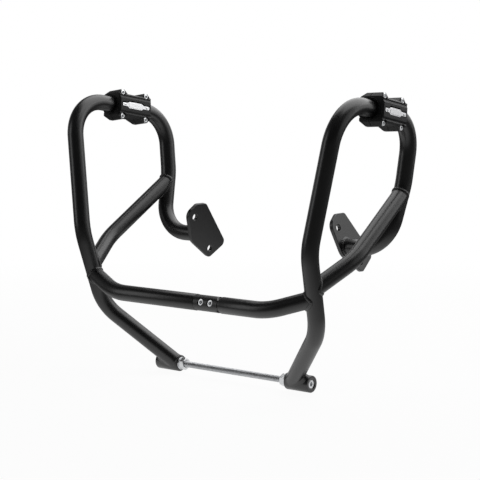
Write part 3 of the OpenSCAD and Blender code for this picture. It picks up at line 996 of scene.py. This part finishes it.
lugCorners = [(s, v) for s in (-1, 1) for v in (-1, 1)]
frontLugs = []
backLugs = []
seats = []
for s, v in lugCorners:
    outline = lugOutline(s, v, sliderWork)
    frontLugs.append(moved(prism(outline, *sliderWork["frontLug"]), crosswise))
    backLug = moved(prism(outline, *sliderWork["backLug"]), crosswise)
    bevelFrom = Vector((0, 0, v * sliderWork["lugBevel"]))
    backLugs.append(planeCut(backLug, bevelFrom, Vector((-1, 0, v)).normalized()))
    spot = crosswise @ shifted(s * sliderWork["screwAcross"], v * sliderWork["screwUp"], 0)
    seatRings = [(sliderWork["holeSpan"][0], sliderWork["screwHole"]),
                 (sliderWork["screwSeat"], sliderWork["screwHole"]),
                 (sliderWork["screwSeat"], sliderWork["headHole"]),
                 (sliderWork["holeSpan"][1], sliderWork["headHole"])]
    seats.append(moved(ringStack(seatRings, 40, closeStart=True, closeEnd=True), spot))

# The nameplate lies in a pocket of the slider's face, in the slider's Y and Z
badgeWork = {
    "outline": [(-30, -3.5), (-19, -3.5), (-15, -6.2), (12, -6.2), (16, -3.6), (30, -3.6),
                (30, 2.1), (17, 2.1), (12.5, 4.5), (-15, 4.5), (-19, 2.1), (-30, 2.1)],
    "pocket": [(-31, -3.9), (-19, -3.9), (-15, -6.6), (12, -6.6), (16, -4.0), (32.2, -4.0),
               (32.2, 3.9), (17.6, 3.9), (13, 6.6), (-15.4, 6.6), (-19.4, 3.9), (-31, 3.9)],
    "radii": [2.2, 2, 2, 2, 2, 2.2, 2.2, 2, 2, 2, 2, 2.2],
    "panel": [(-13.6, -4.8), (10.8, -4.8), (13.8, -3.0), (13.8, 1.8), (10.8, 3.4), (-13.6, 3.4),
              (-16.2, 1.8), (-16.2, -3.0)],
    "panelRadius": 1.2,
    "panelSunk": 0.4,
    "panelProud": 0.3,
    "panelEdge": 0.25,
    "floor": 18.6,
    "top": 22.8,
    "edge": 0.3,
    "pocketTop": 26,
    "screws": 24.0,
    "screwUp": -0.7,
    "screwHole": 1.4,
    "screwSeat": 21.3,
    "screwRings": [(-1.2, 1.2), (1.5, 1.25), (1.5, 2.0), (1.75, 2.0), (2.0, 1.75), (2.1, 1.3), (2.15, 0.3)],
}
pocketOutline = arcCorners(badgeWork["pocket"], badgeWork["radii"], 4)
pocket = moved(prism(pocketOutline, badgeWork["floor"], badgeWork["pocketTop"]), crosswise)
softEdge, softAngle = sliderWork["softEdge"], sliderWork["softAngle"]
frontBlock = combine(frontBody, frontLugs + frontLips, "UNION")
frontHalf = softened(combine(frontBlock, [barCut, pocket] + seats, "DIFFERENCE"), softEdge, softAngle)
backBlock = combine(backBody, backLugs + backLips, "UNION")
backHalf = softened(combine(backBlock, [barCut] + seats, "DIFFERENCE"), softEdge, softAngle)

screwAcross, screwUp, screwSeat = (sliderWork[k] for k in ("screwAcross", "screwUp", "screwSeat"))
screws = joinParts([
    moved(capScrew(sliderWork["screw"]), shifted(screwSeat, s * screwAcross, v * screwUp) @ crosswise)
    for s, v in lugCorners
])
badgeScrewSpots = [(s * badgeWork["screws"], badgeWork["screwUp"]) for s in (-1, 1)]
badgeLoops = [arcCorners(badgeWork["outline"], badgeWork["radii"], 4)]
badgeLoops += [circleLoop(x, y, badgeWork["screwHole"], 20) for x, y in badgeScrewSpots]
panelLoop = arcCorners(badgeWork["panel"], [badgeWork["panelRadius"]] * len(badgeWork["panel"]), 4)
badgeSheet = cutSheet(badgeLoops, badgeWork["floor"], badgeWork["top"], badgeWork["edge"])
panelSheet = cutSheet([panelLoop], badgeWork["top"] - badgeWork["panelSunk"],
                      badgeWork["top"] + badgeWork["panelProud"], badgeWork["panelEdge"])
badge = moved(joinParts([badgeSheet, panelSheet]), crosswise)
badgeScrew = ringStack(badgeWork["screwRings"], 32, closeStart=True, closeEnd=True)
badgeScrews = joinParts([moved(badgeScrew, shifted(badgeWork["screwSeat"], x, y) @ crosswise)
                         for x, y in badgeScrewSpots])

linerWork = {"halfLength": 34, "inside": 12.75, "outside": 15.45, "rounding": (0.3, 0.25)}
linerEnd, linerOut = linerWork["halfLength"], linerWork["outside"]
endwise, inwards = linerWork["rounding"]
linerShape = ringStack([
    (-linerEnd, linerWork["inside"]), (-linerEnd, linerOut - inwards), (-linerEnd + endwise, linerOut),
    (linerEnd - endwise, linerOut), (linerEnd, linerOut - inwards), (linerEnd, linerWork["inside"]),
], 64)
for sideName, side in (("left", 1), ("right", -1)):
    place = sliderPlace(side, sliderWork)
    makePiece(sideName + "SliderFront", frontHalf, sliderNylon, [sideName + "_slider_front"],
              place=place, weighted=True)
    makePiece(sideName + "SliderBack", backHalf, sliderNylon, [sideName + "_slider_back"],
              place=place, weighted=True)
    makePiece(sideName + "SliderLiner", linerShape, linerRubber,
              [sideName + "_slider_liner"], place=place @ lengthwise)
    makePiece(sideName + "SliderScrews", screws, zincSteel, [sideName + "_slider_screws"],
              place=place, sharp=30)
    makePiece(sideName + "Nameplate", badge, badgeMetal, [sideName + "_nameplate"],
              place=place, weighted=True)
    makePiece(sideName + "NameplateScrews", badgeScrews, zincSteel,
              [sideName + "_nameplate_screws"], place=place)
print("sliders clamped on")

# Floor, sky and lamps, in metres: a white sweep behind and under the piece, a dark room behind the
# camera, and soft boxes above and beside it. Places are told from the camera: across to its right,
# nearer to it, and up.
studio = {
    "floorDrop": -0.0165,
    "floorSize": 60.0,
    "floorColour": "#f2f2f2",
    "shadowFade": (0.5, 1.6, 0.95, 1.0),
    "mirroredFloor": (0.25, 0.70, 0.85, 0.10),
    "skyForLight": 0.18,
    "room": [(0.0, 0.04), (0.35, 0.05), (0.6, 0.12), (0.8, 0.35), (0.92, 1.0)],
    "sweepFade": 0.9,
    "ceilingTowards": {"across": 0.5, "nearer": -0.5, "up": 0.7},
    "ceiling": (0.70, 0.94, 0.0, 0.6),
    "lampsAim": (0, 0, 0.2),
    "lamps": [
        {"name": "topBox", "across": 0.32, "nearer": -0.28, "up": 1.0,
         "size": (1.5, 1.3), "radiance": 1.5},
        {"name": "rightBox", "across": 2.3, "nearer": 0.7, "up": 0.9,
         "size": (1.6, 1.6), "radiance": 0.4},
        {"name": "rightStrip", "across": 2.15, "nearer": -0.44, "up": 0.62,
         "size": (0.9, 1.2), "radiance": 1.0},
        {"name": "leftStrip", "across": -2.09, "nearer": 0.37, "up": 0.74,
         "size": (0.8, 1.4), "radiance": 1.2},
    ],
}
white = (1, 1, 1, 1)


def fromCamera(spot):
    return cameraRight * spot["across"] + cameraSide * spot["nearer"] + Vector((0, 0, spot["up"]))


def joined(tree, operation, a, b):
    return addNode(tree, "ShaderNodeMath", links={0: a, 1: b}, operation=operation).outputs[0]


def lightPath(tree):
    path = addNode(tree, "ShaderNodeLightPath").outputs
    mirrored = joined(tree, "MAXIMUM", path["Is Glossy Ray"], path["Is Transmission Ray"])
    return path["Is Camera Ray"], mirrored


def towardsShare(tree, direction, way):
    node = addNode(tree, "ShaderNodeVectorMath", {1: way}, {0: direction}, operation="DOT_PRODUCT")
    return node.outputs["Value"]


def background(tree, strength=None, links=None):
    values = {"Color": white} | ({} if strength is None else {"Strength": strength})
    return addNode(tree, "ShaderNodeBackground", values, links).outputs[0]


def mixed(tree, share, first, second):
    return addNode(tree, "ShaderNodeMixShader", links={0: share, 1: first, 2: second}).outputs[0]


# Camera rays see a white floor with a faint shadow, and mirrored rays a pool of light near the piece
floorMaterial, tree = newMaterial("paleFloor")
seen, mirrored = lightPath(tree)
fromMiddle = addNode(tree, "ShaderNodeVectorMath", links={0: ownPlace(tree)}, operation="LENGTH")
distance = fromMiddle.outputs["Value"]
fade = ranged(tree, distance, studio["shadowFade"])
pool = ranged(tree, distance, studio["mirroredFloor"])
share = joined(tree, "ADD", joined(tree, "MULTIPLY", seen, fade), mirrored)
strength = joined(tree, "ADD", seen, joined(tree, "MULTIPLY", mirrored, pool))
matt = addNode(tree, "ShaderNodeBsdfDiffuse", {"Color": hexColour(studio["floorColour"])}).outputs[0]
glow = addNode(tree, "ShaderNodeEmission", {"Color": white}, {"Strength": strength}).outputs[0]
addNode(tree, "ShaderNodeOutputMaterial", links={"Surface": mixed(tree, share, matt, glow)})

s = studio["floorSize"] / 2
floorMesh = bpy.data.meshes.new("floor")
floorMesh.from_pydata([(-s, -s, 0), (s, -s, 0), (s, s, 0), (-s, s, 0)], [], [(0, 1, 2, 3)])
floorMesh.materials.append(floorMaterial)
floor = bpy.data.objects.new("floor", floorMesh)
floor.location.z = studio["floorDrop"]
bpy.context.scene.collection.objects.link(floor)

# Camera rays see white, mirrored rays the sweep and the lit side of the ceiling, and the rest is plain light
world = bpy.data.worlds.new("studioWorld")
bpy.context.scene.world = world
world.use_nodes = True
tree = world.node_tree
tree.nodes.clear()
seen, mirrored = lightPath(tree)
direction = addNode(tree, "ShaderNodeTexCoord").outputs["Generated"]
height = addNode(tree, "ShaderNodeSeparateXYZ", links={0: direction}).outputs["Z"]
above = addNode(tree, "ShaderNodeMath", {1: 0.0}, {0: height}, operation="MAXIMUM").outputs[0]
loss = addNode(tree, "ShaderNodeMath", {1: -studio["sweepFade"]}, {0: above}, operation="MULTIPLY").outputs[0]
sweepShare = joined(tree, "ADD", towardsShare(tree, direction, -cameraSide), loss)
turned = ranged(tree, sweepShare, (-1, 1, 0, 1))
room = addNode(tree, "ShaderNodeValToRGB", links={"Fac": turned})
tones = room.color_ramp.elements
while len(tones) < len(studio["room"]):
    tones.new(0.5)
for tone, (position, level) in zip(tones, studio["room"]):
    tone.position = position
    tone.color = (level, level, level, 1)
ceilingShare = towardsShare(tree, direction, fromCamera(studio["ceilingTowards"]))
ceiling = ranged(tree, ceilingShare, studio["ceiling"])
roomStrength = joined(tree, "ADD", room.outputs["Color"], ceiling)
lighting = background(tree, studio["skyForLight"])
notSeen = mixed(tree, mirrored, lighting, background(tree, links={"Strength": roomStrength}))
sky = mixed(tree, seen, notSeen, background(tree, 1.0))
addNode(tree, "ShaderNodeOutputWorld", links={"Surface": sky})

for lamp in studio["lamps"]:
    data = bpy.data.lights.new(lamp["name"], "AREA")
    data.shape = "RECTANGLE"
    data.size, data.size_y = lamp["size"]
    data.energy = lamp["radiance"] * math.pi * lamp["size"][0] * lamp["size"][1]
    light = bpy.data.objects.new(lamp["name"], data)
    light.location = fromCamera(lamp)
    light.rotation_euler = (Vector(studio["lampsAim"]) - light.location).to_track_quat("-Z", "Y").to_euler()
    bpy.context.scene.collection.objects.link(light)

bpy.context.scene.view_settings.view_transform = "Standard"
print("studio lit")
